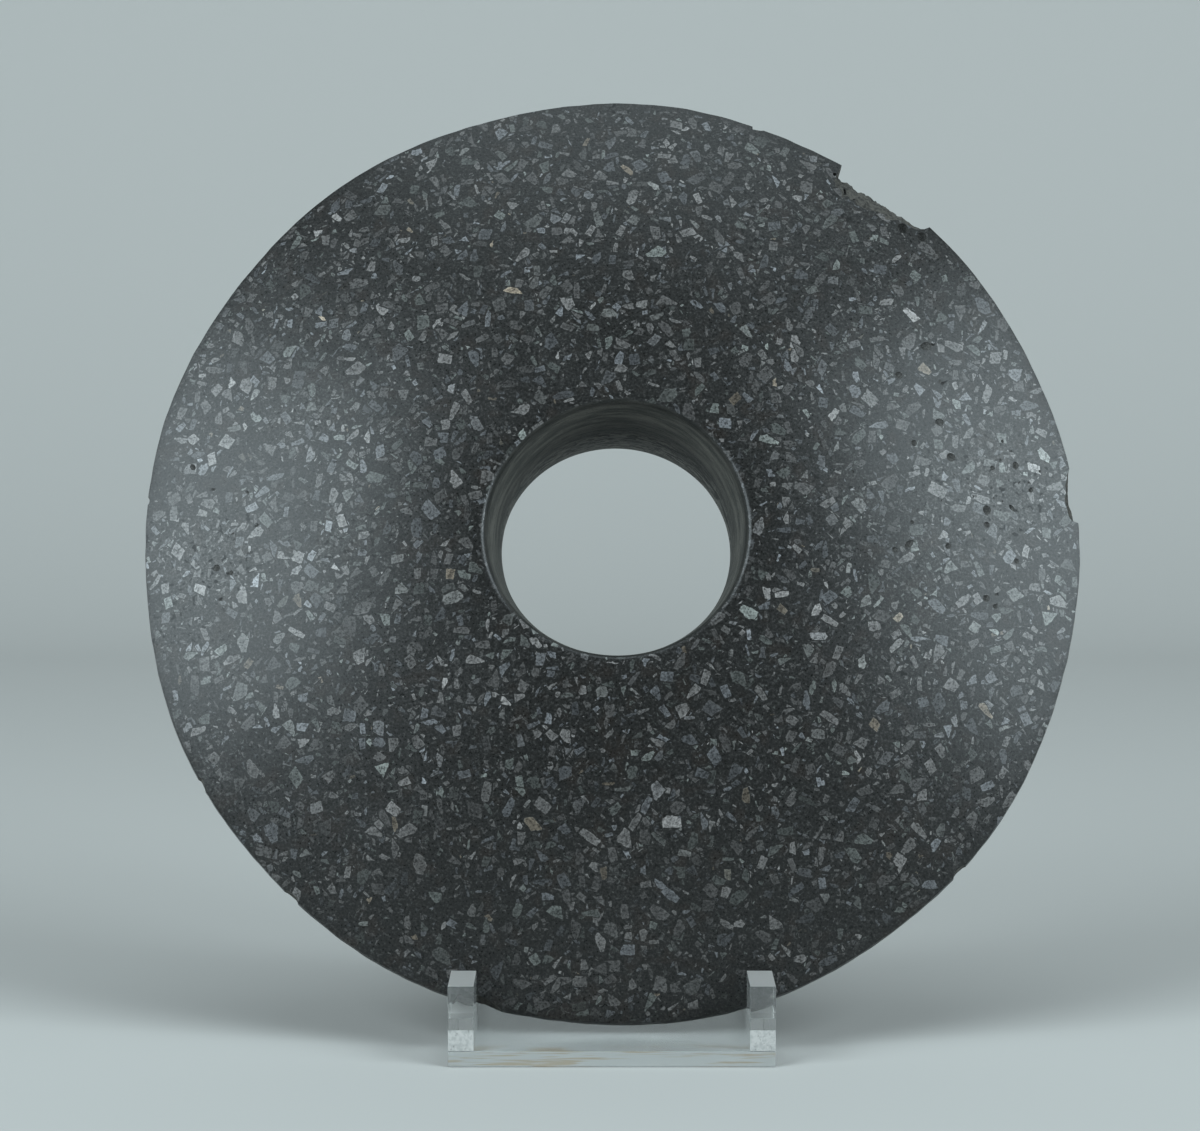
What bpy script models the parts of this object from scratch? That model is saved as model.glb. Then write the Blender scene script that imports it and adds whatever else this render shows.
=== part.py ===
"""Perforated stone disc in a clear acrylic cradle: a base plate and two notched side pieces.

Metres, +Z up. +X is to the right and the disc's better face looks towards -Y, leaning back.
The origin is on the surface that the base plate stands on, at the middle of the whole object's box.
"""

import math
import random
from collections import namedtuple

import bmesh
import bpy
from mathutils import Matrix, Vector

# Stone disc, in its own frame: its axis is Z, and the face that is shown looks along +Z
DISC_RADIUS = 0.09557
DISC_THICKNESS = 0.0350
RIM_THICKNESS = 0.0024
RIM_ROUNDING = 0.0006
FACE_CURVE = 1.6
RIM_WAVES = ((2, 0.00059, 96.7), (3, 0.00011, 33.0), (5, 0.00010, 8.0), (9, 0.00025, 4.4))

# Its bore was drilled from both faces, so it is narrowest near the middle and a little off centre
MOUTH_RADIUS = 0.0262
WAIST_RADIUS = 0.02347
LIP_RADIUS = 0.0015
FRONT_MOUTH_CENTRE = (0.0011, 0.0009)
WAIST_CENTRE = (0.00095, 0.0001)
MOUTH_WAVES = ((2, 0.00020, 45.0), (3, 0.00020, 75.0))
WAIST_WAVES = ((2, 0.00022, 90.0),)

# Chips round the rim: angle in degrees from +X, length along the rim, depth
CHIPS = (
    (53.2, 0.0217, 0.0027),
    (7.0, 0.0120, 0.0012),
    (71.2, 0.0030, 0.0006),
    (173.7, 0.0020, 0.0005),
    (210.5, 0.0035, 0.0008),
    (228.0, 0.0040, 0.0006),
    (254.0, 0.0100, 0.0009),
    (316.5, 0.0040, 0.0006),
)
CHIP_TOOTH = 0.0022
CHIP_ROUGHNESS = 0.16
CHIP_SLANT = 0.30
CUTTER_HALF_HEIGHT = 0.0058
CUTTER_RIDGE = 0.0007

# Clear cradle
CRADLE_WIDTH = 0.0632
BASE_DEPTH = 0.0780
BASE_THICKNESS = 0.0030
SIDE_THICKNESS = 0.0050
PRONG_DEPTH = 0.0165
PRONG_RISE = 0.0084
ARM_RISE = 0.0467
ARM_TOP_DEPTH = 0.0090
ARM_HEEL_HEIGHT = 0.0080
POLISHED_EDGE = 0.0003

# How the disc sits in it. An arm's front edge makes this angle with the disc's middle plane
DISC_LEAN = math.radians(17.5)
ARM_TO_DISC = math.radians(14.0)
ARM_LEAN = DISC_LEAN + ARM_TO_DISC
DISC_OVER_BASE = 0.00146
CLEARANCE = 0.0003

# Fineness of the mesh
TURNS = 120
FACE_STEPS = 8
BORE_STEPS = 3
LIP_STEPS = 3
SHARP_EDGE = math.radians(35)

Seat = namedtuple("Seat", "centre notch_floor arm_foot")


def wave(waves, angle):
    """Sum of cosine waves round a circle, each given as count, height and the angle of one crest."""
    return sum(height * math.cos(count * (angle - math.radians(crest))) for count, height, crest in waves)


def rim_radius(angle):
    """Distance of the unbroken rim from the disc's centre."""
    return DISC_RADIUS + wave(RIM_WAVES, angle)


def face_height(radius):
    """Height of the domed face over the middle plane: nearly flat at the bore, steeper towards the rim."""
    reach = max(0.0, (radius - MOUTH_RADIUS) / (DISC_RADIUS - MOUTH_RADIUS))
    return RIM_THICKNESS / 2 + (DISC_THICKNESS - RIM_THICKNESS) / 2 * (1 - reach**FACE_CURVE)


def bore_radius(height):
    """Radius of the bore at a height over the middle plane."""
    return WAIST_RADIUS + (MOUTH_RADIUS - WAIST_RADIUS) * min(1.0, abs(2 * height / DISC_THICKNESS)) ** 2


def front_half_profile():
    """Radius and height of the profile from the bore's waist over the front face to the rim's edge."""
    points = []
    lip_base = DISC_THICKNESS / 2 - LIP_RADIUS
    for step in range(BORE_STEPS + 1):
        height = lip_base * step / BORE_STEPS
        points.append((bore_radius(height), height))
    lip_foot = points[-1][0]
    lip_end = lip_foot + LIP_RADIUS
    for step in range(1, LIP_STEPS + 1):
        turn = math.pi / 2 * step / LIP_STEPS
        crown = face_height(lip_end) - lip_base
        points.append((lip_end - LIP_RADIUS * math.cos(turn), lip_base + crown * math.sin(turn)))
    edge = DISC_RADIUS - RIM_ROUNDING
    for step in range(1, FACE_STEPS + 1):
        radius = lip_end + (edge - lip_end) * step / FACE_STEPS
        points.append((radius, face_height(radius)))
    points.append((DISC_RADIUS, max(0.0, RIM_THICKNESS / 2 - RIM_ROUNDING)))
    return points


def disc_mesh():
    """The unbroken disc, turned from its profile and then made as uneven as the real one."""
    front = front_half_profile()
    back = [(radius, -height) for radius, height in reversed(front[1:])]
    bm = bmesh.new()
    ring = [bm.verts.new((radius, 0.0, height)) for radius, height in front + back]
    edges = [bm.edges.new((ring[index - 1], ring[index])) for index in range(len(ring))]
    bmesh.ops.spin(
        bm, geom=ring + edges, cent=(0, 0, 0), axis=(0, 0, 1), angle=math.tau, steps=TURNS, use_merge=True
    )
    for vert in bm.verts:
        vert.co = uneven(vert.co)
    bmesh.ops.recalc_face_normals(bm, faces=bm.faces)
    return bm


def uneven(point):
    """Moves a point of the turned disc onto the real outline and the off-centre bore."""
    angle = math.atan2(point.y, point.x)
    radius = math.hypot(point.x, point.y)
    reach = (radius - WAIST_RADIUS) / (DISC_RADIUS - WAIST_RADIUS)
    mouth = max(0.0, point.z) / (DISC_THICKNESS / 2)
    near_bore = (1 - reach) ** 2
    bore_wave = mouth * wave(MOUTH_WAVES, angle) + (1 - mouth) * wave(WAIST_WAVES, angle)
    radius += reach * wave(RIM_WAVES, angle) + near_bore * bore_wave
    shift_x = WAIST_CENTRE[0] + (FRONT_MOUTH_CENTRE[0] - WAIST_CENTRE[0]) * mouth
    shift_y = WAIST_CENTRE[1] + (FRONT_MOUTH_CENTRE[1] - WAIST_CENTRE[1]) * mouth
    return Vector(
        (
            radius * math.cos(angle) + near_bore * shift_x,
            radius * math.sin(angle) + near_bore * shift_y,
            point.z,
        )
    )


def chip_cutter(number, angle, length, depth):
    """A rough block over the rim. Its inner side leans, so that the front face is broken back further."""
    rng = random.Random(number)
    middle = math.radians(angle)
    half_turn = length / DISC_RADIUS / 2
    teeth = max(2, round(length / CHIP_TOOTH))
    bm = bmesh.new()

    def level(height):
        """The block's outline at one height: a jagged inner side and a plain outer one."""
        points = []
        for tooth in range(teeth + 1):
            turn = middle + half_turn * (2 * tooth / teeth - 1)
            bite = depth * (1 + rng.uniform(-CHIP_ROUGHNESS, CHIP_ROUGHNESS)) + CHIP_SLANT * height
            points.append((rim_radius(turn) - bite, turn, height))
        outside = DISC_RADIUS + depth + CUTTER_HALF_HEIGHT
        points.append((outside, middle + half_turn, height))
        points.append((outside, middle - half_turn, height))
        return [bm.verts.new((r * math.cos(turn), r * math.sin(turn), z)) for r, turn, z in points]

    heights = (-CUTTER_HALF_HEIGHT, -CUTTER_RIDGE, CUTTER_RIDGE, CUTTER_HALF_HEIGHT)
    levels = [level(height) for height in heights]
    for lower, upper in zip(levels, levels[1:]):
        for index in range(len(lower)):
            bm.faces.new((lower[index - 1], lower[index], upper[index], upper[index - 1]))
    bm.faces.new(levels[0])
    bm.faces.new(levels[-1])
    bmesh.ops.triangulate(bm, faces=bm.faces)
    bmesh.ops.recalc_face_normals(bm, faces=bm.faces)
    return bm


def slab_points(bm, x_range, top=None):
    """Corners of the part of a mesh between two heights of X, on both sides of X = 0, and below top."""
    points = []
    for side in (-1, 1):
        slab = bm.copy()
        planes = [((side * x_range[0], 0, 0), (-side, 0, 0)), ((side * x_range[1], 0, 0), (side, 0, 0))]
        if top is not None:
            planes.append(((0, 0, top), (0, 0, 1)))
        for place, normal in planes:
            bmesh.ops.bisect_plane(
                slab,
                geom=slab.verts[:] + slab.edges[:] + slab.faces[:],
                plane_co=place,
                plane_no=normal,
                clear_outer=True,
            )
        points += [vert.co.copy() for vert in slab.verts]
        slab.free()
    return points


def seat_disc(unbroken):
    """Works out from the disc's own shape how it sits in the cradle.

    Its lowest point hangs just over the base plate. The notch floors come up to its rim, its front is
    just clear of the prongs, and the arms' front edges just clear its back.
    """
    leaning = unbroken.copy()
    bmesh.ops.rotate(leaning, cent=(0, 0, 0), matrix=lean_matrix(), verts=leaning.verts)
    centre_z = BASE_THICKNESS + DISC_OVER_BASE - min(vert.co.z for vert in leaning.verts)
    sides = (CRADLE_WIDTH / 2 - SIDE_THICKNESS, CRADLE_WIDTH / 2)
    notch_floor = centre_z + min(point.z for point in slab_points(leaning, sides)) - CLEARANCE
    at_prong = slab_points(leaning, sides, notch_floor + PRONG_RISE - centre_z)
    centre_y = PRONG_DEPTH + CLEARANCE - min(point.y for point in at_prong)
    backs = []
    for point in slab_points(leaning, sides, notch_floor + ARM_RISE - centre_z):
        rise = point.z + centre_z - notch_floor
        backs.append(point.y + centre_y - rise * math.tan(ARM_LEAN))
    leaning.free()
    arm_foot = max(backs) + CLEARANCE / math.cos(ARM_LEAN)
    return Seat(Vector((0, centre_y, centre_z)), notch_floor, arm_foot)


def lean_matrix():
    """Turns the disc's face towards -Y, leaning back."""
    return Matrix.Rotation(math.pi / 2 - DISC_LEAN, 3, "X")


def side_outline(seat):
    """Y and Z of a side piece: prong, notch for the rim, and an arm up the disc's back."""
    under = BASE_THICKNESS + CLEARANCE
    prong_top = seat.notch_floor + PRONG_RISE
    arm_top = seat.notch_floor + ARM_RISE
    arm_front = seat.arm_foot + ARM_RISE * math.tan(ARM_LEAN)
    return [
        (0.0, under),
        (BASE_DEPTH, under),
        (BASE_DEPTH, under + ARM_HEEL_HEIGHT),
        (arm_front + ARM_TOP_DEPTH, arm_top),
        (arm_front, arm_top),
        (seat.arm_foot, seat.notch_floor),
        (PRONG_DEPTH, seat.notch_floor),
        (PRONG_DEPTH, prong_top),
        (0.0, prong_top),
    ]


def side_mesh(seat):
    """One side piece, sawn from sheet: its outline pushed along X."""
    bm = bmesh.new()
    outline = [bm.verts.new((-SIDE_THICKNESS / 2, y, z)) for y, z in side_outline(seat)]
    face = bm.faces.new(outline)
    pushed = bmesh.ops.extrude_face_region(bm, geom=[face])
    far = [item for item in pushed["geom"] if isinstance(item, bmesh.types.BMVert)]
    bmesh.ops.translate(bm, vec=(SIDE_THICKNESS, 0, 0), verts=far)
    bmesh.ops.recalc_face_normals(bm, faces=bm.faces)
    return bm


def base_mesh():
    """The plate that the side pieces stand on."""
    bm = bmesh.new()
    bmesh.ops.create_cube(bm, size=1.0)
    bmesh.ops.scale(bm, vec=(CRADLE_WIDTH, BASE_DEPTH, BASE_THICKNESS), verts=bm.verts)
    bmesh.ops.translate(bm, vec=(0, BASE_DEPTH / 2, BASE_THICKNESS / 2), verts=bm.verts)
    return bm


def add_object(name, bm, material=None, parent=None):
    """Makes an object of a finished bmesh."""
    mesh = bpy.data.meshes.new(name)
    bm.to_mesh(mesh)
    bm.free()
    obj = bpy.data.objects.new(name, mesh)
    bpy.context.scene.collection.objects.link(obj)
    obj.parent = parent
    if material:
        mesh.materials.append(material)
    return obj


def principled(name, colour, roughness, transmission=0.0, ior=1.5):
    """A material of one Principled BSDF."""
    material = bpy.data.materials.new(name)
    material.use_nodes = True
    material.diffuse_color = (*colour, 1.0)
    shader = material.node_tree.nodes["Principled BSDF"]
    shader.inputs["Base Color"].default_value = (*colour, 1.0)
    shader.inputs["Roughness"].default_value = roughness
    shader.inputs["Metallic"].default_value = 0.0
    shader.inputs["Transmission Weight"].default_value = transmission
    shader.inputs["IOR"].default_value = ior
    return material


def ease_edges(obj):
    """The narrow polished edge of sawn acrylic."""
    bevel = obj.modifiers.new("Polished edge", "BEVEL")
    bevel.width = POLISHED_EDGE
    bevel.segments = 1
    bevel.limit_method = "ANGLE"


def add_disc(unbroken, centre, holder):
    """The disc in its place, with the chips cut from its rim."""
    stone = principled("Speckled dark stone", (0.032, 0.034, 0.036), 0.42)
    disc = add_object("stone_disc", unbroken, stone, holder)
    disc.location = centre
    disc.rotation_euler = lean_matrix().to_euler()
    disc.data.shade_smooth()
    disc.data.set_sharp_from_angle(angle=SHARP_EDGE)
    for number, (angle, length, depth) in enumerate(CHIPS, start=1):
        cutter = add_object(f"chip_cutter_{number}", chip_cutter(number, angle, length, depth), parent=disc)
        cutter.hide_render = True
        cutter.display_type = "WIRE"
        cut = disc.modifiers.new(f"Chip {number}", "BOOLEAN")
        cut.operation = "DIFFERENCE"
        cut.solver = "EXACT"
        cut.object = cutter
    return disc


def add_cradle(seat, holder):
    """The base plate and the two side pieces on it."""
    acrylic = principled("Clear acrylic", (0.92, 0.96, 0.96), 0.03, transmission=1.0, ior=1.49)
    base = add_object("stand_base", base_mesh(), acrylic, holder)
    left = add_object("stand_side_left", side_mesh(seat), acrylic, holder)
    right = add_object("stand_side_right", side_mesh(seat), acrylic, holder)
    left.location.x = -(CRADLE_WIDTH - SIDE_THICKNESS) / 2
    right.location.x = (CRADLE_WIDTH - SIDE_THICKNESS) / 2
    for piece in (base, left, right):
        ease_edges(piece)
    return [base, left, right]


def centre_on_origin(holder, pieces):
    """Moves everything so that the middle of the whole object's box is over the origin."""
    bpy.context.view_layer.update()
    graph = bpy.context.evaluated_depsgraph_get()
    corners = []
    for piece in pieces:
        whole = piece.evaluated_get(graph)
        corners += [piece.matrix_world @ vert.co for vert in whole.data.vertices]
    for axis in (0, 1):
        values = [corner[axis] for corner in corners]
        holder.location[axis] = -(min(values) + max(values)) / 2


def main():
    for obj in list(bpy.data.objects):
        bpy.data.objects.remove(obj, do_unlink=True)
    holder = bpy.data.objects.new("whole_object", None)
    bpy.context.scene.collection.objects.link(holder)
    unbroken = disc_mesh()
    seat = seat_disc(unbroken)
    pieces = [add_disc(unbroken, seat.centre, holder)] + add_cradle(seat, holder)
    centre_on_origin(holder, pieces)


main()
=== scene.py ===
"""The looks of a perforated stone disc in its clear acrylic cradle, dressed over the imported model."""

import math
import random

import bmesh
import bpy
from mathutils import Matrix, Vector, noise


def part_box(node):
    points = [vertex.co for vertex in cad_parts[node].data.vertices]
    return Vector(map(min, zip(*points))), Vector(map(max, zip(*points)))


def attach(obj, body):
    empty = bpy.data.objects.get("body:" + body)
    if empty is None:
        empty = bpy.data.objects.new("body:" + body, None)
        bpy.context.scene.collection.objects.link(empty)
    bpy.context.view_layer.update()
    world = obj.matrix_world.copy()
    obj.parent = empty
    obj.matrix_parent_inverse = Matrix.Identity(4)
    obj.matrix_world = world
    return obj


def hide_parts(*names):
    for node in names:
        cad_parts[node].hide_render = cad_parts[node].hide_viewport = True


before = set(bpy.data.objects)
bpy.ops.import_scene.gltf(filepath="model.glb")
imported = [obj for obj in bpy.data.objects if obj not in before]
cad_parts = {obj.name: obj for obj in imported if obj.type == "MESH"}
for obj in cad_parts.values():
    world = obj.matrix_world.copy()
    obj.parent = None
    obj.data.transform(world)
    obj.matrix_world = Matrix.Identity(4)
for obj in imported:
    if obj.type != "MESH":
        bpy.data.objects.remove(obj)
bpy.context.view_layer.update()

MM = 0.001

# The disc, as the solid has it: millimetres in its own frame, where Z is its axis
DISC_RADIUS = 95.57
DISC_THICKNESS = 35.0
RIM_THICKNESS = 2.4
RIM_ROUNDING = 0.6
FACE_CURVE = 1.6
RIM_WAVES = ((2, 0.59, 96.7), (3, 0.11, 33.0), (5, 0.10, 8.0), (9, 0.25, 4.4))
MOUTH_RADIUS = 26.2
WAIST_RADIUS = 23.47
LIP_RADIUS = 1.5
FRONT_MOUTH_CENTRE = (1.1, 0.9)
WAIST_CENTRE = (0.95, 0.1)
MOUTH_WAVES = ((2, 0.20, 45.0), (3, 0.20, 75.0))
WAIST_WAVES = ((2, 0.22, 90.0),)
DISC_LEAN = math.radians(17.5)
# Share of the lip that the film in the bore covers, with its painted shade under the lip
FILM_OVER_LIP = 0.2

# The worn surface, in millimetres: height and spacing of its broad and its fine swells, of the rim's
# wear, which its offset keeps inward, and of the grooves round the bore. The shares are of the way from
# the waist to the rim: the outermost is worn, and the innermost is grooved
BROAD_SWELL = 0.07
BROAD_SPACING = 14
FINE_SWELL = 0.02
FINE_SPACING = 4
RIM_WEAR = 0.12
RIM_WEAR_SPACING = 3.5
RIM_WEAR_OFFSET = 1.1
RIM_WEAR_SHARE = 0.03
GROOVE_DEPTH = 0.06
GROOVE_LENGTH = 30
GROOVE_SPACING = 1.2
GROOVED_SHARE = 0.02

# Chips round the rim: angle in degrees from +X, length along the rim, depth, and how its two ends
# run out, the lower angle's end first: 0.1 is a steep step and 1 a long ramp
CHIPS = (
    (53.0, 22.8, 4.2, 0.40, 0.13),
    (7.0, 12.0, 2.1, 0.45, 0.80),
    (71.2, 3.0, 0.9, 0.80, 0.15),
    (173.7, 2.0, 0.5, 0.50, 0.50),
    (210.5, 3.5, 0.6, 0.30, 0.80),
    (228.0, 4.0, 0.9, 0.60, 0.60),
    (254.0, 10.0, 1.4, 0.15, 0.60),
    (316.5, 4.0, 0.9, 0.60, 0.60),
)
# Spacing of a chip's mesh, the share by which it gets deeper for each millimetre towards the front, and
# half the height of what cuts it
CHIP_GRAIN = 0.5
CHIP_SLANT = 0.20
CUTTER_HALF_HEIGHT = 5.8
# Bumps of a break, coarse to fine: height as a share of the break's depth, and spacing in millimetres
BREAK_BUMPS = ((0.26, 2.8), (0.20, 1.3), (0.10, 0.6))

# Pits in the front face: place, length, width, and the turn of their length in degrees
PITS = (
    (64.3, 41.3, 2.9, 1.6, 20),
    (58.3, 34.4, 1.5, 1.3, 0),
    (66.5, 24.8, 1.9, 1.4, 10),
    (61.0, 19.9, 1.2, 1.1, 90),
    (68.6, 17.4, 1.8, 1.6, 0),
    (82.1, 16.8, 1.5, 1.3, 70),
    (77.2, 15.8, 1.0, 0.9, 0),
    (85.1, 11.8, 1.2, 0.9, 30),
    (81.0, 7.6, 1.8, 0.8, -40),
    (75.7, 6.8, 1.7, 1.6, 90),
    (75.6, 3.7, 1.1, 1.1, 0),
    (67.5, -1.3, 1.2, 1.1, 0),
    (59.5, -1.3, 2.0, 1.1, 35),
    (56.6, -2.7, 1.2, 1.0, 0),
    (81.7, -3.3, 1.1, 1.0, 0),
    (75.3, -11.4, 1.5, 1.3, 0),
    (77.1, -13.0, 1.1, 1.0, 0),
    (-76.6, -6.2, 1.1, 1.0, 0),
    (-79.7, -4.9, 1.7, 1.4, 0),
    (-85.1, 16.7, 1.6, 1.0, -40),
    (42.6, 82.3, 1.6, 0.9, -10),
    (41.2, 71.7, 2.3, 1.2, -35),
)
# Holes in the main break: place, height over the middle plane, and radius
BREAK_HOLES = (
    (60.2, 68.0, 2.7, 1.3),
    (64.2, 66.3, 2.3, 1.2),
    (48.2, 76.3, 1.9, 0.8),
    (46.3, 79.9, 1.8, 0.7),
    (50.2, 74.0, 2.2, 0.7),
)
# Worn patches of the front face, where fine pits crowd: place and radius
WORN_PATCHES = (
    (-82.0, -3.0, 13.0),
    (80.0, 12.0, 15.0),
    (50.0, 70.0, 12.0),
)
# Fine pits: how many, the share of them in the worn patches, their radius, how narrow the narrowest are
# for their length, and how far they keep from each other, from the bore's mouth and from the rim
FINE_PITS = 90
FINE_PITS_IN_WEAR = 0.6
FINE_PIT_RADII = (0.22, 0.50)
NARROWEST_PIT = 0.6
PIT_CLEARANCE = 0.3
MOUTH_CLEARANCE = 4
RIM_CLEARANCE = 3.5
PIT_SEED = 7
# The listed pits are cut this much wider than they are listed. Every pit's depth, and how far the middle
# of its cutter stands over the face, are shares of its width
PIT_SPREAD = 1.22
PIT_DEPTH = 0.30
PIT_RAISE = 0.03

# Fineness of the disc's mesh
TURNS = 640
FACE_STEPS = 34
BORE_STEPS = 24
LIP_STEPS = 5
BALL_FINENESS = 2
SHARP_EDGE = math.radians(35)

# The cradle's side pieces in metres, as the solids have them: depths from their front edge, and heights
# over the floor, apart from the heel's and the cement's, which are over the pieces' own bottom
PRONG_DEPTH = 0.0165
PRONG_TOP = 0.0157
NOTCH_FLOOR = 0.0073
ARM_FOOT = 0.02142
ARM_TOP_DEPTH = 0.0090
ARM_LEAN = math.radians(31.5)
HEEL_HEIGHT = 0.0080
EASED_EDGE = 0.00012
LEAST_EASED_ANGLE = math.radians(10)
CEMENT_RISE = 0.0041
CEMENT_THICKNESS = 0.00025

# Which material of its object a face has, and how near to 1 the normal of a face that lies square is
POLISHED, DRILLED, BROKEN, PITTED = range(4)
CLEAR, HANDLED, SAWN, CEMENTED = range(4)
SQUARE_ON = 0.9


class Shade:
    """A socket of a finish, so that shader maths reads as Python."""

    def __init__(self, finish, socket):
        self.finish = finish
        self.socket = socket

    def output(self, name):
        """Another output of the same node."""
        return Shade(self.finish, self.socket.node.outputs[name])

    def __add__(self, other):
        return self.finish.math("ADD", self, other)

    def __sub__(self, other):
        return self.finish.math("SUBTRACT", self, other)

    def __rsub__(self, other):
        return self.finish.math("SUBTRACT", other, self)

    def __mul__(self, other):
        return self.finish.math("MULTIPLY", self, other)

    def __truediv__(self, other):
        return self.finish.math("DIVIDE", self, other)

    def __pow__(self, other):
        return self.finish.math("POWER", self, other)

    def above(self, other):
        """The larger of the two."""
        return self.finish.math("MAXIMUM", self, other)

    def below(self, other):
        """The smaller of the two."""
        return self.finish.math("MINIMUM", self, other)

    __radd__ = __add__
    __rmul__ = __mul__

    def rise(self, low, high):
        """0 below low and 1 above high, smooth between. With low over high it falls instead."""
        if low > high:
            return 1 - self.rise(high, low)
        settings = {"interpolation_type": "SMOOTHSTEP"}
        inputs = {"Value": self, "From Min": low, "From Max": high}
        return self.finish.node("ShaderNodeMapRange", settings, inputs)

    def moved(self, by):
        return self.finish.vector("ADD", self, by)

    def stretched(self, by):
        """Each of its three numbers times its own factor."""
        return self.finish.vector("MULTIPLY", self, by)

    def scaled(self, factor):
        """All three numbers times one factor."""
        inputs = {0: self, "Scale": factor}
        return self.finish.node("ShaderNodeVectorMath", {"operation": "SCALE"}, inputs)

    def parts(self):
        """Its X, Y and Z."""
        x = self.finish.node("ShaderNodeSeparateXYZ", {}, {0: self}, "X")
        return x, x.output("Y"), x.output("Z")


class Finish:
    """A material made of one Principled BSDF and the nodes that vary it."""

    def __init__(self, name, **constants):
        self.material = bpy.data.materials.new(name)
        self.material.use_nodes = True
        self.tree = self.material.node_tree
        self.shader = self.tree.nodes["Principled BSDF"]
        for socket, value in constants.items():
            self.shader.inputs[socket.replace("_", " ")].default_value = value

    def feed(self, socket, value):
        """Links a shade to a socket, or sets the socket's own value."""
        if isinstance(value, Shade):
            self.tree.links.new(value.socket, socket)
        else:
            socket.default_value = value

    def node(self, kind, settings, inputs, output=0):
        """A node of a kind, with its settings made first and its sockets fed; gives one output."""
        node = self.tree.nodes.new(kind)
        for key, value in settings.items():
            setattr(node, key, value)
        for key, value in inputs.items():
            self.feed(node.inputs[key], value)
        return Shade(self, node.outputs[output])

    def math(self, operation, first, second=0.0):
        return self.node("ShaderNodeMath", {"operation": operation}, {0: first, 1: second})

    def vector(self, operation, first, second):
        return self.node("ShaderNodeVectorMath", {"operation": operation}, {0: first, 1: second})

    def mix(self, share, first, second):
        """A colour between two others."""
        colours = {0: share, 6: first, 7: second}
        return self.node("ShaderNodeMix", {"data_type": "RGBA"}, colours, 2)

    def blend(self, share, first, second):
        """A number between two others."""
        return self.node("ShaderNodeMix", {"data_type": "FLOAT"}, {0: share, 2: first, 3: second})

    def spread(self, place, by, start):
        """Three numbers stretched by three others and moved."""
        inputs = {0: place, 1: by, 2: start}
        return self.node("ShaderNodeVectorMath", {"operation": "MULTIPLY_ADD"}, inputs)

    def tint(self, colour, factor):
        """A colour made brighter or darker by a factor."""
        factors = self.node("ShaderNodeCombineXYZ", {}, {0: factor, 1: factor, 2: factor})
        return self.vector("MULTIPLY", colour, factors)

    def noise(self, place, per_mm, detail=2.0, roughness=0.5, output="Fac"):
        """Cloudy noise between 0 and 1, with so many lumps to a millimetre."""
        inputs = {"Vector": place, "Scale": per_mm, "Detail": detail, "Roughness": roughness}
        return self.node("ShaderNodeTexNoise", {}, inputs, output)

    def dice(self, place, salt):
        """Three random numbers that stay the same wherever place does."""
        inputs = {"Vector": place, "W": salt}
        return self.node("ShaderNodeTexWhiteNoise", {"noise_dimensions": "4D"}, inputs, "Color")

    def along(self, place, direction):
        """How far a place lies in a direction."""
        inputs = {0: place, 1: direction}
        return self.node("ShaderNodeVectorMath", {"operation": "DOT_PRODUCT"}, inputs, "Value")

    def distance(self, place, point):
        """How far a place is from a point."""
        inputs = {0: place, 1: point}
        return self.node("ShaderNodeVectorMath", {"operation": "DISTANCE"}, inputs, "Value")

    def bump(self, height, depth):
        """A normal for relief of a depth in metres, from a height between 0 and 1."""
        inputs = {"Height": height, "Distance": depth, "Strength": 1.0}
        return self.node("ShaderNodeBump", {}, inputs)

    def set(self, socket, value):
        """Feeds a socket of the Principled BSDF."""
        self.feed(self.shader.inputs[socket], value)


# Stone

GROUND = (0.0125, 0.0123, 0.0117, 1.0)
GROUND_WARM = (0.0270, 0.0160, 0.0105, 1.0)
PIT_DARK = (0.005, 0.005, 0.005, 1.0)
PIT_STONE = (0.045, 0.045, 0.044, 1.0)
PIT_DUST = (0.110, 0.109, 0.106, 1.0)
BREAK_DARK = (0.024, 0.023, 0.021, 1.0)
BREAK_PALE = (0.092, 0.087, 0.077, 1.0)
FILM_DARK = (0.028, 0.029, 0.026, 1.0)
FILM_PALE = (0.074, 0.072, 0.064, 1.0)
BLUISH = (0.96, 1.0, 1.03, 1.0)
CRYSTAL_GREY = (0.178, 0.170, 0.168, 1.0)
CRYSTAL_BLUE = (0.160, 0.165, 0.178, 1.0)
CRYSTAL_GREEN = (0.160, 0.172, 0.163, 1.0)
CRYSTAL_TAN = (0.280, 0.225, 0.170, 1.0)

# Crops of crystals: spacing in mm, half length, width and thickness to spacing, share of places filled
CRYSTAL_CROPS = (
    (1.40, 0.48, 0.15, 0.24, 0.48),
    (2.00, 0.46, 0.22, 0.30, 0.48),
    (2.70, 0.49, 0.14, 0.28, 0.60),
    (3.10, 0.47, 0.26, 0.34, 0.55),
    (3.90, 0.49, 0.25, 0.32, 0.48),
)
# Turn in radians and shift in cells of a crop's grid, each times the crop's number
CROP_TURN = (0.71, 1.13, 0.47)
CROP_SHIFT = (3.7, 5.3, 7.9)
# A crystal's middle lies 0.38 to 0.62 of the way through its cell, as chance has it, and is taken off a
# place there
MIDDLE_START = (-0.38, -0.38, -0.38)
MIDDLE_SPREAD = (-0.24, -0.24, -0.24)
# A crystal's bulk and how far out its two cuts lie: the least, and how much chance adds
LEAST_CUT = (0.62, 0.34, 0.34)
CUT_SPREAD = (0.60, 0.85, 1.00)
# Directions of the two cuts that take a crystal's corners off, and how much it narrows to its ends
FIRST_CUT = (0.62, 0.78, 0.20)
SECOND_CUT = (-0.70, 0.66, -0.25)
CRYSTAL_TAPER = 0.22
# Reach is 0 at a crystal's middle and 1 at its edge: where its colour fades, where the dark gap round it
# ends, and what is added where a cell stays empty
CRYSTAL_EDGE = (1.05, 0.94)
CRYSTAL_GAP = (1.50, 1.30)
EMPTY_CELL = 9.0
# How far a crystal's edges stray, in millimetres
RAGGEDNESS = 0.22
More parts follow.
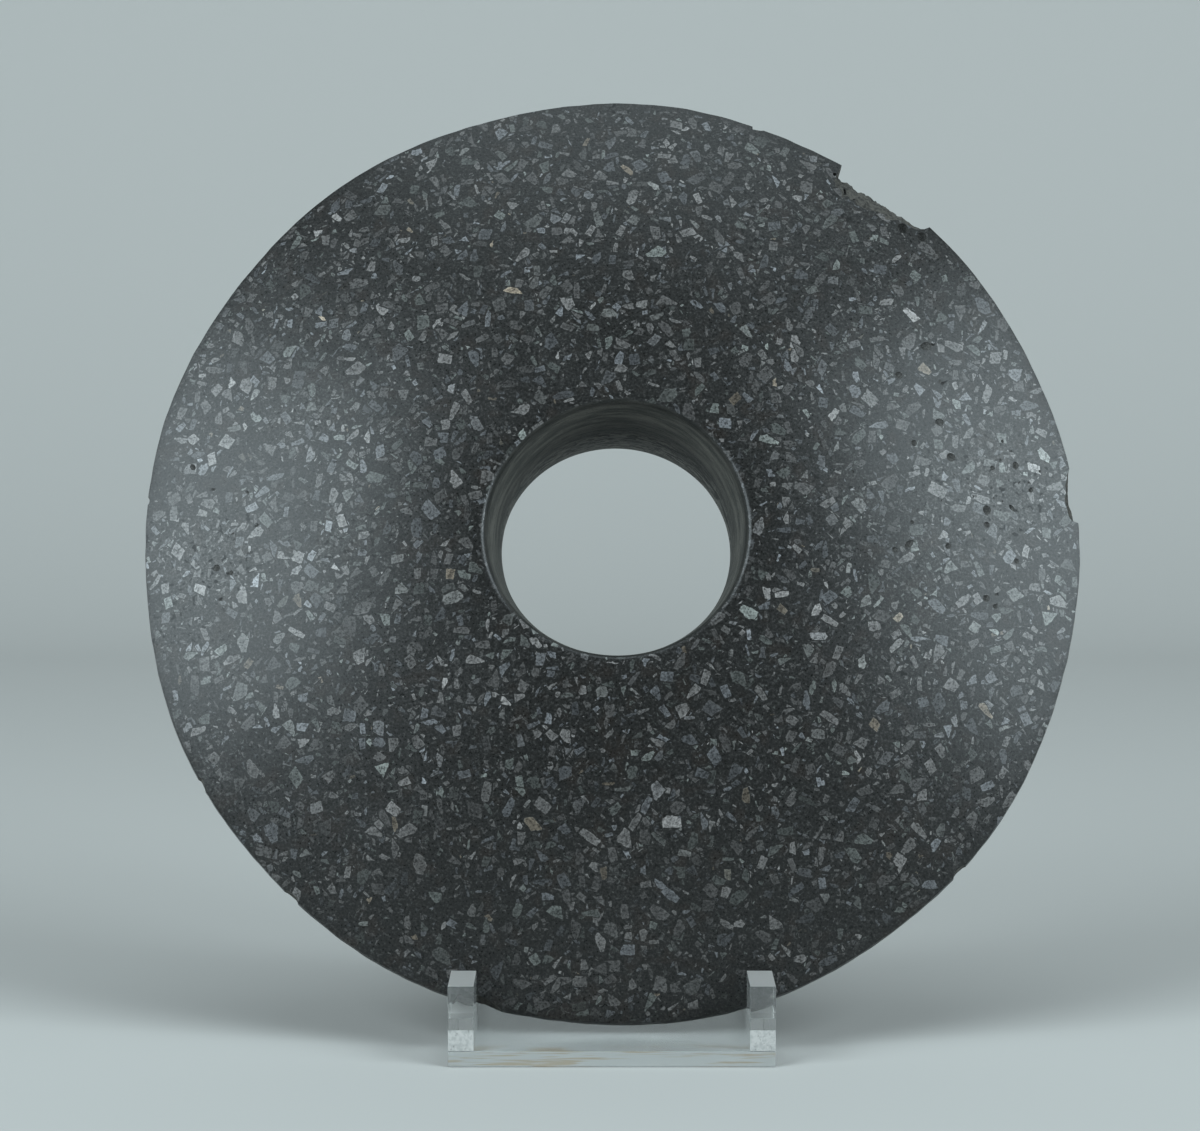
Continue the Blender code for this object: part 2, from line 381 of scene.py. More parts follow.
# A band with hardly a crystal along the rim, a darker border that paints the shade on the rounded edge: how
# far it wanders, and where it starts and is full
RIM_BAND_WANDER = 6.0
PAINTED_RIM_SHADE_BAND = (DISC_RADIUS + 1.6, DISC_RADIUS + 2.4)
# Heights on the disc between which the crystals grow a little sparser downwards: painted shade on the lower
# part
PAINTED_SHADE_LOWER_PART = (-30.0, -80.0)


def in_disc(finish, centre):
    """Place in the disc's own frame, in millimetres."""
    place = finish.node("ShaderNodeTexCoord", {}, {}, "Object")
    settings = {"vector_type": "TEXTURE"}
    inputs = {
        "Vector": place,
        "Location": centre,
        "Rotation": (math.pi / 2 - DISC_LEAN, 0.0, 0.0),
        "Scale": (MM, MM, MM),
    }
    return finish.node("ShaderNodeMapping", settings, inputs)


def crystals(finish, place, number, spacing, half_length, half_width, half_depth, share):
    """One crop of crystals: a tapering slab in each cell of a turned grid, its corners off.

    Gives a place's reach from its crystal's middle, how light that crystal is, and its colour's lean.
    """
    turned_grid = {
        "Vector": place,
        "Rotation": [number * turn for turn in CROP_TURN],
        "Scale": [1 / spacing] * 3,
        "Location": [number * shift for shift in CROP_SHIFT],
    }
    grid = finish.node("ShaderNodeMapping", {"vector_type": "POINT"}, turned_grid)
    cell = finish.node("ShaderNodeVectorMath", {"operation": "FLOOR"}, {0: grid})
    within = finish.node("ShaderNodeVectorMath", {"operation": "FRACTION"}, {0: grid})
    dice = finish.dice(cell, 1.0)
    other = finish.dice(cell, 2.0)
    centred = within.moved(finish.spread(other, MIDDLE_SPREAD, MIDDLE_START))
    turn = {"Vector": centred, "Rotation": dice.scaled(math.tau)}
    turned = finish.node("ShaderNodeVectorRotate", {"rotation_type": "EULER_XYZ"}, turn)
    shape = finish.vector("DIVIDE", turned, (half_length, half_width, half_depth))
    unsigned = finish.node("ShaderNodeVectorMath", {"operation": "ABSOLUTE"}, {0: shape})
    along, side, deep = unsigned.parts()
    bulk, first_cut, second_cut = finish.spread(dice, CUT_SPREAD, LEAST_CUT).parts()
    chance, tone, hue = other.parts()
    side = side / (bulk - along * CRYSTAL_TAPER)
    first = finish.along(shape, FIRST_CUT) / first_cut
    second = finish.along(shape, SECOND_CUT) / second_cut
    reach = along.above(side).above(deep).above(first).above(second)
    empty = finish.math("GREATER_THAN", chance, share)
    return reach + empty * EMPTY_CELL, tone, hue


def stone_colours(finish, place):
    """Dark groundmass full of grey crystals, with painted shade along the rim and towards the bottom: its
    colour, how bright a crystal is there, and its grain.
    """
    wobble = finish.noise(place, 1.6, 0.0, output="Color").moved((-0.5, -0.5, -0.5)).scaled(RAGGEDNESS)
    ragged = place.moved(wobble)
    crowding = finish.noise(place, 0.10, 0.0).rise(0.28, 0.62)
    grain = finish.noise(place, 1.9, 1.0, 0.85)
    warmth = finish.noise(place, 0.22, 1.0, 0.6).rise(0.52, 0.72)

    flat = finish.vector("MULTIPLY", place, (1.0, 1.0, 0.0))
    radius = finish.node("ShaderNodeVectorMath", {"operation": "LENGTH"}, {0: flat}, "Value")
    # Painted shade: fewer crystals in a thin band along the rim darken it like its rounded edge in shade
    painted_rim_shade = (radius + finish.noise(place, 0.05, 0.0) * RIM_BAND_WANDER).rise(*PAINTED_RIM_SHADE_BAND)

    ground = finish.mix(warmth * 0.20, GROUND, GROUND_WARM)
    ground = finish.tint(ground, 0.78 + grain.rise(0.28, 0.72) * 0.38)
    ground = finish.mix(grain.rise(0.55, 0.80) * 0.16, ground, CRYSTAL_GREY)

    inside, edge, tone, lean = None, 0.0, 0.0, 0.5
    for number, crop in enumerate(CRYSTAL_CROPS, start=1):
        reach, lightness, hue = crystals(finish, ragged, number, *crop)
        mask = reach.rise(*CRYSTAL_EDGE)
        edge = finish.blend(mask, edge, reach)
        tone = finish.blend(mask, tone, lightness)
        lean = finish.blend(mask, lean, hue)
        inside = mask if inside is None else (inside - reach.rise(*CRYSTAL_GAP)).above(mask)
    shade = (0.30 + tone**2.0 * 0.64 + tone**40.0 * 0.50) * (0.74 + edge**4.0 * 0.40)
    crystal = finish.mix(lean.rise(0.35, 0.20), CRYSTAL_GREY, CRYSTAL_BLUE)
    crystal = finish.mix(lean.rise(0.75, 0.90), crystal, CRYSTAL_GREEN)
    crystal = finish.mix(lean.rise(0.985, 0.99), crystal, CRYSTAL_TAN)
    crystal = finish.tint(crystal, shade * (0.35 + grain.rise(0.22, 0.74) * 1.3))
    # Painted shade: fewer crystals towards the bottom darken the lower part
    lower = finish.along(place, (0.0, 1.0, 0.0)).rise(*PAINTED_SHADE_LOWER_PART)
    inside = inside * (0.52 + crowding * 0.44) * (1 - painted_rim_shade * 0.9) * (1 - lower * 0.24)
    return finish.mix(inside, ground, crystal), inside * (0.30 + shade.below(0.9)), grain


def polished_stone(centre):
    """The disc's ground and polished faces, duller and finely pitted where they are worn."""
    finish = Finish(
        "Polished speckled stone", IOR=1.34, Specular_Tint=BLUISH, Coat_IOR=1.5, Coat_Roughness=0.33
    )
    place = in_disc(finish, centre)
    colour, inside, grain = stone_colours(finish, place)
    worn = finish.noise(place, 0.05, 1.0).rise(0.50, 0.70) * 0.7
    for x, y, radius in WORN_PATCHES:
        away = finish.distance(place, (x, y, DISC_THICKNESS / 4))
        worn = worn.above(away.rise(radius * 1.2, radius * 0.4))
    pits = finish.noise(place, 1.1, 0.0).rise(0.33, 0.22) * (0.10 + worn * 0.90)
    glints = grain.rise(0.28, 0.72)
    finish.set("Base Color", finish.mix(pits * 0.60, colour, PIT_DARK))
    finish.set("Roughness", 0.27 + glints * 0.14 + worn * 0.05 - inside * 0.03)
    finish.set("Coat Weight", 0.12 + inside * 0.46 + glints * (0.26 + worn * 0.30) - pits * 0.6)
    finish.set("Normal", finish.bump(grain, 0.00002))
    return finish.material


def drilled_stone(centre):
    """The bore's wall under a film, with painted light: paler near the front and past the waist, where it
    has dark marks.
    """
    finish = Finish("Worn bore wall", IOR=1.4, Specular_Tint=BLUISH)
    place = in_disc(finish, centre)
    height = finish.along(place, (0.0, 0.0, 1.0))
    grain = finish.noise(place, 2.3, 2.0, 0.75)
    streaks = finish.noise(place.stretched((0.10, 0.10, 0.8)), 1.0, 4.0, 0.65)
    marks = finish.noise(place.stretched((0.45, 0.45, 1.3)), 1.0, 2.0, 0.6).rise(0.50, 0.56)
    film = finish.mix(streaks.rise(0.38, 0.66), FILM_DARK, FILM_PALE)
    # Painted light down the bore: paler near the front and past the waist, darker between, painted shade
    # under the lip
    by_front = height.rise(5.0, 13.0) * 0.45
    painted_light_past_waist = height.rise(7.0, -5.0) * 1.70
    painted_shade_under_lip = height.rise(15.0, 16.6) * 0.80
    pale = 0.85 + by_front + painted_light_past_waist - painted_shade_under_lip
    film = finish.tint(film, (0.7 + grain * 0.6) * pale)
    finish.set("Base Color", finish.mix(marks * height.rise(9.0, 1.0) * 0.90, film, PIT_DARK))
    finish.set("Roughness", 0.55 + streaks * 0.20)
    finish.set("Normal", finish.bump(streaks - marks * 0.4 + grain * 0.2, 0.00018))
    return finish.material


def broken_stone(centre):
    """Breaks in the rim: rough, dull and a little browner."""
    finish = Finish("Broken stone", IOR=1.5)
    place = in_disc(finish, centre)
    coarse = finish.noise(place, 0.9, 4.0, 0.65)
    fine = finish.noise(place, 3.5, 2.0, 0.6)
    colour = finish.mix(coarse.rise(0.35, 0.62), BREAK_DARK, BREAK_PALE)
    finish.set("Base Color", finish.tint(colour, 0.6 + fine * 0.8))
    finish.set("Roughness", 0.65 + fine * 0.25)
    finish.set("Normal", finish.bump(coarse + fine * 0.4, 0.0005))
    return finish.material


def pitted_stone(centre):
    """The rough inside of a pit, with dust in it."""
    finish = Finish("Pitted stone", IOR=1.4)
    grain = finish.noise(in_disc(finish, centre), 2.5, 3.0, 0.7)
    finish.set("Base Color", finish.mix(grain.rise(0.40, 0.70), PIT_STONE, PIT_DUST))
    finish.set("Roughness", 0.80 + grain * 0.15)
    finish.set("Normal", finish.bump(grain, 0.0003))
    return finish.material


def wave(waves, angle):
    """Sum of cosine waves round a circle, each given as count, height and the angle of one crest."""
    return sum(height * math.cos(count * (angle - math.radians(crest))) for count, height, crest in waves)


def rim_radius(angle):
    """Radius of the wavy rim at an angle."""
    return DISC_RADIUS + wave(RIM_WAVES, angle)


def face_height(radius):
    """Height of the domed face over the middle plane."""
    reach = max(0.0, (radius - MOUTH_RADIUS) / (DISC_RADIUS - MOUTH_RADIUS))
    return RIM_THICKNESS / 2 + (DISC_THICKNESS - RIM_THICKNESS) / 2 * (1 - reach**FACE_CURVE)


def bore_radius(height):
    """Radius of the bore, which narrows from its mouths to its waist."""
    return WAIST_RADIUS + (MOUTH_RADIUS - WAIST_RADIUS) * min(1.0, abs(2 * height / DISC_THICKNESS)) ** 2


def front_half_profile():
    """Radius and height of the profile from the bore's waist over the front face to the rim's edge."""
    points = []
    lip_base = DISC_THICKNESS / 2 - LIP_RADIUS
    for step in range(BORE_STEPS + 1):
        height = lip_base * step / BORE_STEPS
        points.append((bore_radius(height), height))
    lip_end = points[-1][0] + LIP_RADIUS
    crown = face_height(lip_end) - lip_base
    for step in range(1, LIP_STEPS + 1):
        turn = math.pi / 2 * step / LIP_STEPS
        points.append((lip_end - LIP_RADIUS * math.cos(turn), lip_base + crown * math.sin(turn)))
    edge = DISC_RADIUS - RIM_ROUNDING
    for step in range(1, FACE_STEPS + 1):
        radius = lip_end + (edge - lip_end) * step / FACE_STEPS
        points.append((radius, face_height(radius)))
    points.append((DISC_RADIUS - RIM_ROUNDING / 4, face_height(edge) - RIM_ROUNDING / 3))
    points.append((DISC_RADIUS, RIM_THICKNESS / 2 - RIM_ROUNDING))
    return points


def uneven(point):
    """Moves a point of the turned disc onto the real outline, the off-centre bore and the worn surface."""
    angle = math.atan2(point.y, point.x)
    radius = math.hypot(point.x, point.y)
    reach = (radius - WAIST_RADIUS) / (DISC_RADIUS - WAIST_RADIUS)
    mouth = max(0.0, point.z) / (DISC_THICKNESS / 2)
    near_bore = (1 - reach) ** 2
    bore_wave = mouth * wave(MOUTH_WAVES, angle) + (1 - mouth) * wave(WAIST_WAVES, angle)
    radius += reach * wave(RIM_WAVES, angle) + near_bore * bore_wave
    shift_x = WAIST_CENTRE[0] + (FRONT_MOUTH_CENTRE[0] - WAIST_CENTRE[0]) * mouth
    shift_y = WAIST_CENTRE[1] + (FRONT_MOUTH_CENTRE[1] - WAIST_CENTRE[1]) * mouth
    x = radius * math.cos(angle) + near_bore * shift_x
    y = radius * math.sin(angle) + near_bore * shift_y
    moved = Vector((x, y, point.z))
    broad = BROAD_SWELL * noise.noise(moved / BROAD_SPACING)
    swell = broad + FINE_SWELL * noise.noise(moved / FINE_SPACING)
    if reach > GROOVED_SHARE:
        moved.z += math.copysign(swell, moved.z) * min(1.0, abs(moved.z))
        wear = noise.noise(moved / RIM_WEAR_SPACING) - RIM_WEAR_OFFSET
        near_edge = max(0.0, reach - (1 - RIM_WEAR_SHARE))
        moved *= 1 + RIM_WEAR / DISC_RADIUS * wear * near_edge / RIM_WEAR_SHARE
    else:
        round_bore = Vector((moved.x / GROOVE_LENGTH, moved.y / GROOVE_LENGTH, moved.z / GROOVE_SPACING))
        groove = GROOVE_DEPTH * noise.noise(round_bore)
        moved.xy *= 1 + groove / WAIST_RADIUS
    return moved


def disc_mesh():
    """The unbroken disc, turned from its profile, with its bore's wall in its own finish."""
    front = front_half_profile()
    back = [(radius, -height) for radius, height in reversed(front[1:])]
    bm = bmesh.new()
    ring = [bm.verts.new((radius, 0.0, height)) for radius, height in front + back]
    edges = [bm.edges.new((ring[index - 1], ring[index])) for index in range(len(ring))]
    bmesh.ops.spin(
        bm, geom=ring + edges, cent=(0, 0, 0), axis=(0, 0, 1), angle=math.tau, steps=TURNS, use_merge=True
    )
    for face in bm.faces:
        middle = face.calc_center_median()
        in_bore = math.hypot(middle.x, middle.y) < MOUTH_RADIUS + LIP_RADIUS * FILM_OVER_LIP
        face.material_index = DRILLED if in_bore else POLISHED
    for vert in bm.verts:
        vert.co = uneven(vert.co)
    bmesh.ops.recalc_face_normals(bm, faces=bm.faces)
    return bm


def chip_profile(along, low_end, high_end):
    """Share of a chip's depth at a place from -1 to 1 along it. A small exponent makes that end steep."""
    return ((1 + along) ** low_end * (1 - along) ** high_end) / ((1 + low_end) ** 0.5)


def add_chip(bm, number, angle, length, depth, low_end, high_end):
    """A slab over the rim, whose grained inner side leaves a broken surface."""
    middle = math.radians(angle)
    half_turn = length / DISC_RADIUS / 2
    grid = bmesh.ops.create_grid(
        bm,
        x_segments=max(8, round(length / CHIP_GRAIN)),
        y_segments=round(2 * CUTTER_HALF_HEIGHT / CHIP_GRAIN),
        size=1.0,
    )["verts"]
    faces = list({face for vert in grid for face in vert.link_faces})
    for vert in grid:
        along, up = vert.co.x, vert.co.y
        turn = middle + half_turn * along
        height = CUTTER_HALF_HEIGHT * up
        spot = Vector((along * length / 2, height, number * 9.0))
        rough = sum(share * noise.noise(spot / spacing) for share, spacing in BREAK_BUMPS)
        bite = depth * chip_profile(along, low_end, high_end) * (1 + rough + CHIP_SLANT * height)
        radius = rim_radius(turn) - bite
        vert.co = Vector((radius * math.cos(turn), radius * math.sin(turn), height))
    out = bmesh.ops.extrude_face_region(bm, geom=faces, use_keep_orig=True)
    outwards = Vector((math.cos(middle), math.sin(middle), 0)) * (depth + CUTTER_HALF_HEIGHT)
    moved = [item for item in out["geom"] if isinstance(item, bmesh.types.BMVert)]
    bmesh.ops.translate(bm, vec=outwards, verts=moved)


def chip_cutters():
    """All the chips' cutters in one mesh, in the finish of a break."""
    bm = bmesh.new()
    for number, chip in enumerate(CHIPS, start=1):
        add_chip(bm, number, *chip)
    bmesh.ops.recalc_face_normals(bm, faces=bm.faces)
    for face in bm.faces:
        face.material_index = BROKEN
    return bm


def fine_pits():
    """Small pits scattered thickly over the worn patches and thinly elsewhere, clear of the listed ones."""
    draw = random.Random(PIT_SEED)
    taken = [(x, y, length / 2) for x, y, length, width, turn in PITS]
    pits = []
    while len(pits) < FINE_PITS:
        if draw.random() < FINE_PITS_IN_WEAR:
            x, y, spread = draw.choice(WORN_PATCHES)
            x, y = draw.gauss(x, spread / 2), draw.gauss(y, spread / 2)
        else:
            x, y = draw.uniform(-DISC_RADIUS, DISC_RADIUS), draw.uniform(-DISC_RADIUS, DISC_RADIUS)
        size = draw.uniform(*FINE_PIT_RADII)
        on_face = MOUTH_RADIUS + MOUTH_CLEARANCE < math.hypot(x, y) < DISC_RADIUS - RIM_CLEARANCE
        clear = all(
            math.hypot(x - near_x, y - near_y) > size + near_size + PIT_CLEARANCE
            for near_x, near_y, near_size in taken
        )
        if on_face and clear:
            taken.append((x, y, size))
            pits.append((x, y, 2 * size, 2 * size * draw.uniform(NARROWEST_PIT, 1.0), draw.uniform(0, 180)))
    return pits


def pit_cutters():
    """All the pits' cutters in one mesh: flattened balls, half sunk in the front face."""
    bm = bmesh.new()
    listed = [(x, y, length * PIT_SPREAD, width * PIT_SPREAD, turn) for x, y, length, width, turn in PITS]
    for x, y, length, width, turn in listed + fine_pits():
        place = Matrix.Translation((x, y, face_height(math.hypot(x, y)) + PIT_RAISE * width))
        shape = Matrix.Diagonal((length / 2, width / 2, width * PIT_DEPTH, 1.0))
        matrix = place @ Matrix.Rotation(math.radians(turn), 4, "Z") @ shape
        bmesh.ops.create_icosphere(bm, subdivisions=BALL_FINENESS, radius=1.0, matrix=matrix)
    for x, y, height, radius in BREAK_HOLES:
        place = Matrix.Translation((x, y, height))
        bmesh.ops.create_icosphere(bm, subdivisions=BALL_FINENESS, radius=radius, matrix=place)
    for face in bm.faces:
        face.material_index = PITTED
    return bm


def add_piece(name, bm, materials):
    """An object of a finished bmesh."""
    mesh = bpy.data.meshes.new(name)
    bm.to_mesh(mesh)
    bm.free()
    for material in materials:
        mesh.materials.append(material)
    obj = bpy.data.objects.new(name, mesh)
    bpy.context.scene.collection.objects.link(obj)
    return obj


def apply_modifiers(obj):
    """Keeps an object's shape as its modifiers make it."""
    graph = bpy.context.evaluated_depsgraph_get()
    finished = bpy.data.meshes.new_from_object(obj.evaluated_get(graph))
    obj.modifiers.clear()
    old = obj.data
    obj.data = finished
    bpy.data.meshes.remove(old)


def disc_centre(leaning):
    """Where the disc's centre goes, so that its box and the solid's have the same middle."""
    low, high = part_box("stone_disc")
    centre = Vector()
    for axis in range(3):
        places = [point[axis] for point in leaning]
        centre[axis] = (low[axis] + high[axis] - (min(places) + max(places))) / 2
    return centre


def cut_away(piece, name, cutter_mesh, materials):
    """Takes a cutter's space out of a piece."""
    cutter = add_piece(name, cutter_mesh, materials)
    cut = piece.modifiers.new(name, "BOOLEAN")
    cut.operation = "DIFFERENCE"
    cut.solver = "EXACT"
    cut.object = cutter
    apply_modifiers(piece)
    bpy.data.objects.remove(cutter, do_unlink=True)


def build_disc():
    """The stone disc: fine mesh, chips and pits cut out, leaned back and put where the solid is."""
    bm = disc_mesh()
    lean = Matrix.Rotation(math.pi / 2 - DISC_LEAN, 4, "X")
    centre = disc_centre([lean @ vert.co * MM for vert in bm.verts])
    materials = [polished_stone(centre), drilled_stone(centre), broken_stone(centre), pitted_stone(centre)]
    disc = add_piece("polished_disc", bm, materials)
    cut_away(disc, "chips", chip_cutters(), materials)
    cut_away(disc, "pits", pit_cutters(), materials)
    disc.data.transform(Matrix.Translation(centre) @ lean @ Matrix.Scale(MM, 4))
    disc.data.shade_smooth()
    disc.data.set_sharp_from_angle(angle=SHARP_EDGE)
    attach(disc, "root")
    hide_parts("stone_disc")


# Cradle

ACRYLIC_IOR = 1.49
CLEAR_TINT = (0.96, 0.975, 0.97, 1.0)
HAZY_TINT = (0.90, 0.93, 0.92, 1.0)
AMBER = (0.76, 0.64, 0.48, 1.0)
SAWN_TINT = (0.62, 0.61, 0.60, 1.0)
CEMENT_GREY = (0.38, 0.385, 0.38, 1.0)
CEMENT_WHITE = (0.50, 0.50, 0.49, 1.0)
CEMENT_SPECK = (0.14, 0.14, 0.13, 1.0)
# Places in millimetres, front to back, between which the amber streaks by the front edge fade
STAINED_FRONT = (-30.0, -38.0)


def in_mm(finish):
    """Place on the part, in millimetres."""
    return finish.node("ShaderNodeTexCoord", {}, {}, "Object").scaled(1 / MM)


def clear_acrylic():
    """Polished acrylic: clear, with faint wiping marks."""
    finish = Finish("Clear acrylic", Transmission_Weight=0.93, IOR=ACRYLIC_IOR, Base_Color=CLEAR_TINT)
    smears = finish.noise(in_mm(finish).stretched((0.3, 0.3, 0.08)), 1.0, 3.0, 0.6)
    finish.set("Roughness", smears.rise(0.45, 0.75) * 0.06)
    return finish.material


def hazy_acrylic(name, clarity, haze, staining):
    """Acrylic gone hazy with handling: finely scratched, and streaked with amber by its front edge."""
    finish = Finish(name, Transmission_Weight=clarity, IOR=ACRYLIC_IOR)
    place = in_mm(finish)
    stains = finish.noise(place.stretched((0.09, 0.22, 2.4)), 1.0, 2.0, 0.6).rise(0.50, 0.66)
    by_front = finish.along(place, (0.0, 1.0, 0.0)).rise(*STAINED_FRONT)
    colour = finish.mix(stains * by_front * staining, HAZY_TINT, AMBER)
    scratches = finish.noise(place.stretched((0.12, 1.2, 1.2)), 1.0, 2.0, 0.7)
    finish.set("Base Color", colour)
    finish.set("Roughness", haze + scratches.rise(0.40, 0.70) * 0.04)
    return finish.material


def sawn_acrylic():
    """The sheet's sawn edges: frosted, with fine saw lines across them."""
    finish = Finish("Sawn acrylic", Transmission_Weight=0.45, IOR=ACRYLIC_IOR, Base_Color=SAWN_TINT)
    place = in_mm(finish)
    lines = finish.noise(place.stretched((0.4, 5.0, 5.0)), 1.0, 2.0, 0.6)
    finish.set("Roughness", 0.38 + lines * 0.16)
    finish.set("Normal", finish.bump(lines, 0.00003))
    return finish.material


def cemented_foot():
    """The prong's foot, clouded by the cement: whitish, with dark specks."""
    finish = Finish("Cemented foot", Roughness=0.5, IOR=ACRYLIC_IOR)
    place = in_mm(finish)
    cloud = finish.noise(place, 0.9, 3.0, 0.7)
    specks = finish.noise(place.stretched((1.3, 1.3, 0.9)), 1.5, 2.0, 0.6).rise(0.60, 0.68)
    colour = finish.mix(cloud.rise(0.38, 0.60), CEMENT_GREY, CEMENT_WHITE)
    finish.set("Base Color", finish.mix(specks * 0.6, colour, CEMENT_SPECK))
    return finish.material


def ease_edges(bm):
    """The narrow polished edge of sawn acrylic."""
    sharp = [edge for edge in bm.edges if edge.is_convex and edge.calc_face_angle(0) > LEAST_EASED_ANGLE]
    bmesh.ops.bevel(
        bm, geom=sharp, offset=EASED_EDGE, segments=2, profile=0.5, affect="EDGES", material=-1
    )


def side_outline(front, back, bottom, top):
    """Y and Z of a side piece: prong, notch for the rim, and an arm up the disc's back."""
    arm_top = front + ARM_FOOT + (top - NOTCH_FLOOR) * math.tan(ARM_LEAN)
    return [
        (front, bottom),
        (back, bottom),
        (back, bottom + HEEL_HEIGHT),
        (arm_top + ARM_TOP_DEPTH, top),
        (arm_top, top),
        (front + ARM_FOOT, NOTCH_FLOOR),
        (front + PRONG_DEPTH, NOTCH_FLOOR),
        (front + PRONG_DEPTH, PRONG_TOP),
        (front, PRONG_TOP),
    ]


def side_finish(face, front, bottom):
    """Which finish a face of a side piece has."""
    middle = face.calc_center_median()
    if abs(face.normal.x) > SQUARE_ON:
        return HANDLED
    if face.normal.y < -SQUARE_ON and middle.z < bottom + CEMENT_RISE:
        return CEMENTED
    on_prong = middle.y < front + PRONG_DEPTH + EASED_EDGE and abs(face.normal.y) > SQUARE_ON
    return CLEAR if on_prong or face.normal.z < -SQUARE_ON else SAWN


def build_side(name, node, materials):
    """One side piece, sawn from sheet and cemented to the base plate."""
    low, high = (Vector(corner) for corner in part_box(node))
    low.z -= CEMENT_THICKNESS
    bm = bmesh.new()
    outline = [bm.verts.new((low[0], y, z)) for y, z in side_outline(low[1], high[1], low[2], high[2])]
    face = bm.faces.new(outline)
    pushed = bmesh.ops.extrude_face_region(bm, geom=[face])
    far = [item for item in pushed["geom"] if isinstance(item, bmesh.types.BMVert)]
    bmesh.ops.translate(bm, vec=(high[0] - low[0], 0, 0), verts=far)
    bmesh.ops.recalc_face_normals(bm, faces=bm.faces)
    cement_top = low + Vector((0, 0, CEMENT_RISE))
    parts = bm.verts[:] + bm.edges[:] + bm.faces[:]
    bmesh.ops.bisect_plane(bm, geom=parts, plane_co=cement_top, plane_no=(0, 0, 1))
    for face in bm.faces:
        face.material_index = side_finish(face, low.y, low.z)
    ease_edges(bm)
    side = add_piece(name, bm, materials)
    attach(side, "root")
    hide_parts(node)


def build_base(materials):
    """The base plate, which reaches as far as its solid does."""
    low, high = (Vector(corner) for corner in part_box("stand_base"))
    bm = bmesh.new()
    bmesh.ops.create_cube(bm, size=1.0)
    bmesh.ops.scale(bm, vec=high - low, verts=bm.verts)
    bmesh.ops.translate(bm, vec=(high + low) / 2, verts=bm.verts)
    ease_edges(bm)
    base = add_piece("base_plate", bm, materials)
    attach(base, "root")
    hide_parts("stand_base")


def build_cradle():
    """The acrylic cradle: two side pieces on a base plate."""
    finishes = [
        clear_acrylic(),
        hazy_acrylic("Handled acrylic", clarity=0.76, haze=0.08, staining=0.0),
        sawn_acrylic(),
        cemented_foot(),
    ]
    build_side("left_side_piece", "stand_side_left", finishes)
    build_side("right_side_piece", "stand_side_right", finishes)
    build_base([hazy_acrylic("Hazy base plate", clarity=0.66, haze=0.22, staining=0.9)])


# Studio

FLOOR_FRONT = -2.2
SWEEP_START = 0.75
SWEEP_RADIUS = 0.45
SWEEP_TOP = 2.2
SWEEP_HALF_WIDTH = 2.4
SWEEP_STEPS = 24
FLOOR_GAP = 0.00008
PAPER = (0.53, 0.532, 0.522, 1.0)
COOL = (0.87, 1.0, 1.04)
# Softboxes: azimuth and elevation in degrees, width and height in metres, and power in watts. Azimuth 0
# is the viewer's side, and positive is to the right
SOFTBOXES = {
    "left_softbox": (-50, 26, (1.1, 1.25), 26.5),
    "right_softbox": (54, 27, (1.0, 1.3), 25.5),
    "top_softbox": (0, 82, (1.40, 0.80), 7.5),
}
SOFTBOX_DISTANCE = 1.8
SOFTBOX_TARGET = Vector((0.0, 0.0, 0.1))
WORLD_STRENGTH = 0.11


def build_sweep():
    """A sheet of pale paper: floor, bend and wall in one."""
    bm = bmesh.new()
    profile = [(FLOOR_FRONT, -FLOOR_GAP)]
    for step in range(SWEEP_STEPS + 1):
        turn = math.pi / 2 * step / SWEEP_STEPS
        profile.append(
            (SWEEP_START + SWEEP_RADIUS * math.sin(turn), SWEEP_RADIUS * (1 - math.cos(turn)) - FLOOR_GAP)
        )
    profile.append((SWEEP_START + SWEEP_RADIUS, SWEEP_TOP))
    line = [bm.verts.new((-SWEEP_HALF_WIDTH, y, z)) for y, z in profile]
    edges = [bm.edges.new(pair) for pair in zip(line, line[1:])]
    pushed = bmesh.ops.extrude_edge_only(bm, edges=edges)
    far = [item for item in pushed["geom"] if isinstance(item, bmesh.types.BMVert)]
    bmesh.ops.translate(bm, vec=(2 * SWEEP_HALF_WIDTH, 0, 0), verts=far)
    bmesh.ops.recalc_face_normals(bm, faces=bm.faces)
    finish = Finish("Pale paper", Base_Color=PAPER, Roughness=0.9, Specular_IOR_Level=0.1)
    sweep = add_piece("paper_sweep", bm, [finish.material])
    sweep.data.shade_smooth()


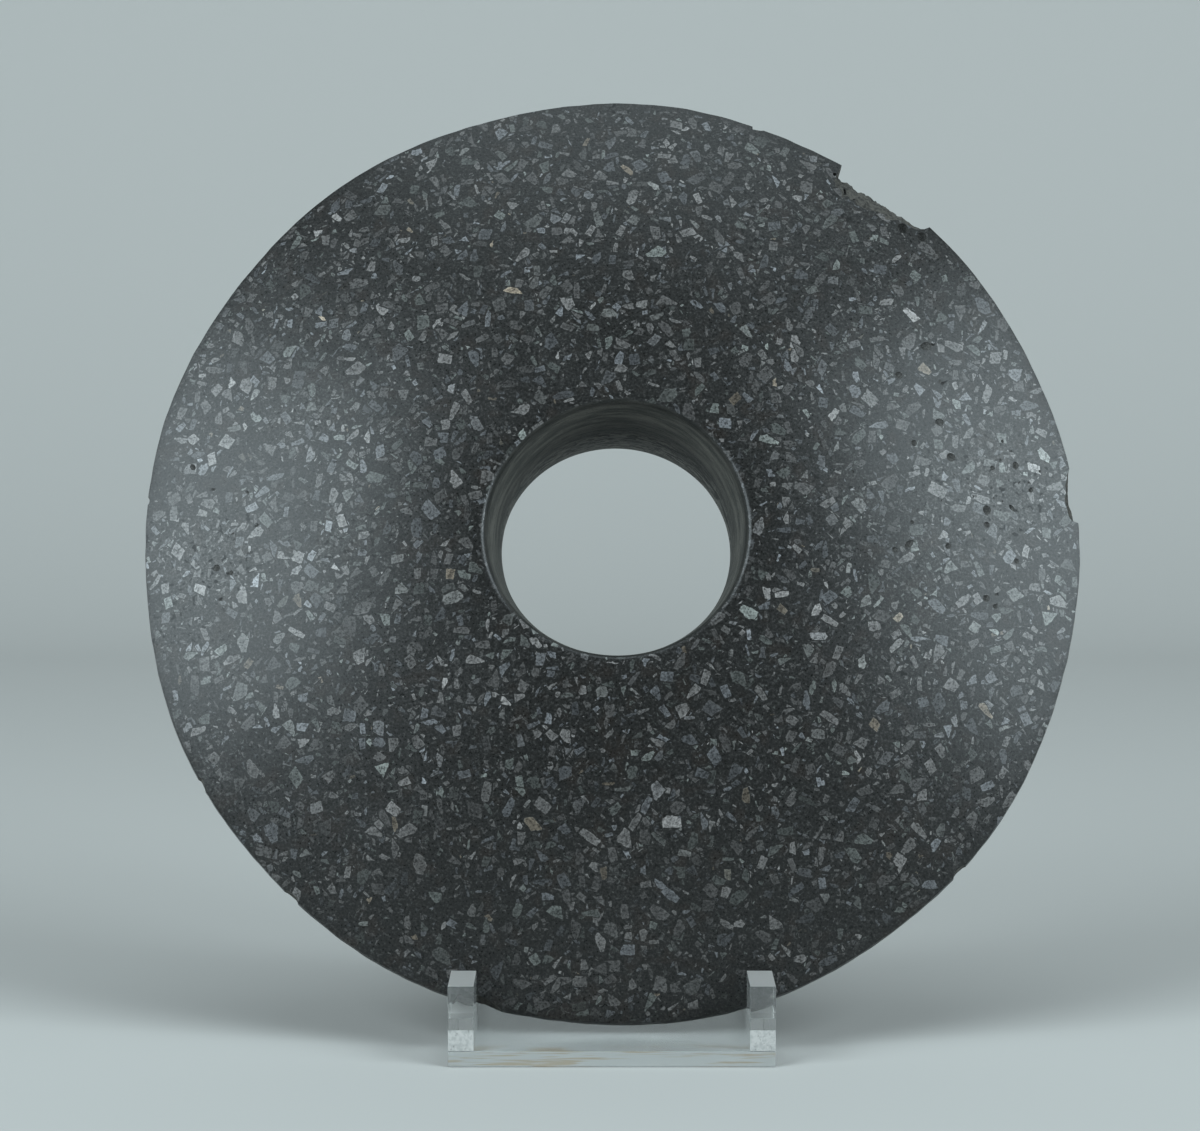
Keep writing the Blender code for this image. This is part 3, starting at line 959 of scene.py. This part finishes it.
def softbox(name, azimuth, elevation, size, power):
    """A large soft light, aimed at the disc."""
    turn, rise = math.radians(azimuth), math.radians(elevation)
    towards = Vector((math.sin(turn) * math.cos(rise), -math.cos(turn) * math.cos(rise), math.sin(rise)))
    light = bpy.data.lights.new(name, "AREA")
    light.shape = "RECTANGLE"
    light.size, light.size_y = size
    light.energy = power
    light.color = COOL
    lamp = bpy.data.objects.new(name, light)
    lamp.location = SOFTBOX_TARGET + towards * SOFTBOX_DISTANCE
    lamp.rotation_euler = towards.to_track_quat("Z", "Y").to_euler()
    bpy.context.scene.collection.objects.link(lamp)


def build_studio():
    """The softboxes, a little light from all round, and how the picture is worked out."""
    for name, (azimuth, elevation, size, power) in SOFTBOXES.items():
        softbox(name, azimuth, elevation, size, power)
    world = bpy.data.worlds.new("Studio")
    world.use_nodes = True
    background = world.node_tree.nodes["Background"]
    background.inputs["Color"].default_value = (*COOL, 1.0)
    background.inputs["Strength"].default_value = WORLD_STRENGTH
    bpy.context.scene.world = world
    bpy.context.scene.view_settings.view_transform = "Standard"
    bpy.context.scene.cycles.diffuse_bounces = 1
    bpy.context.scene.cycles.use_light_tree = False


# Camera, measured from the cradle's front edge and the floor
CAMERA_RIGHT = -0.00228
CAMERA_BACK = 0.700
CAMERA_HEIGHT = 0.1493
CAMERA_TILT = math.radians(4.28)
CAMERA_LENS = 110.4


def build_camera():
    """The viewer's camera, level with the upper part of the disc and tilted down a little."""
    low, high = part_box("stand_base")
    camera = bpy.data.cameras.new("camera")
    camera.sensor_width = 36.0
    camera.lens = CAMERA_LENS
    camera.clip_start = 0.01
    viewer = bpy.data.objects.new("camera", camera)
    viewer.location = ((low[0] + high[0]) / 2 + CAMERA_RIGHT, low[1] - CAMERA_BACK, CAMERA_HEIGHT)
    viewer.rotation_euler = (math.pi / 2 - CAMERA_TILT, 0, 0)
    bpy.context.scene.collection.objects.link(viewer)
    bpy.context.scene.camera = viewer


build_camera()
build_disc()
build_cradle()
build_sweep()
build_studio()
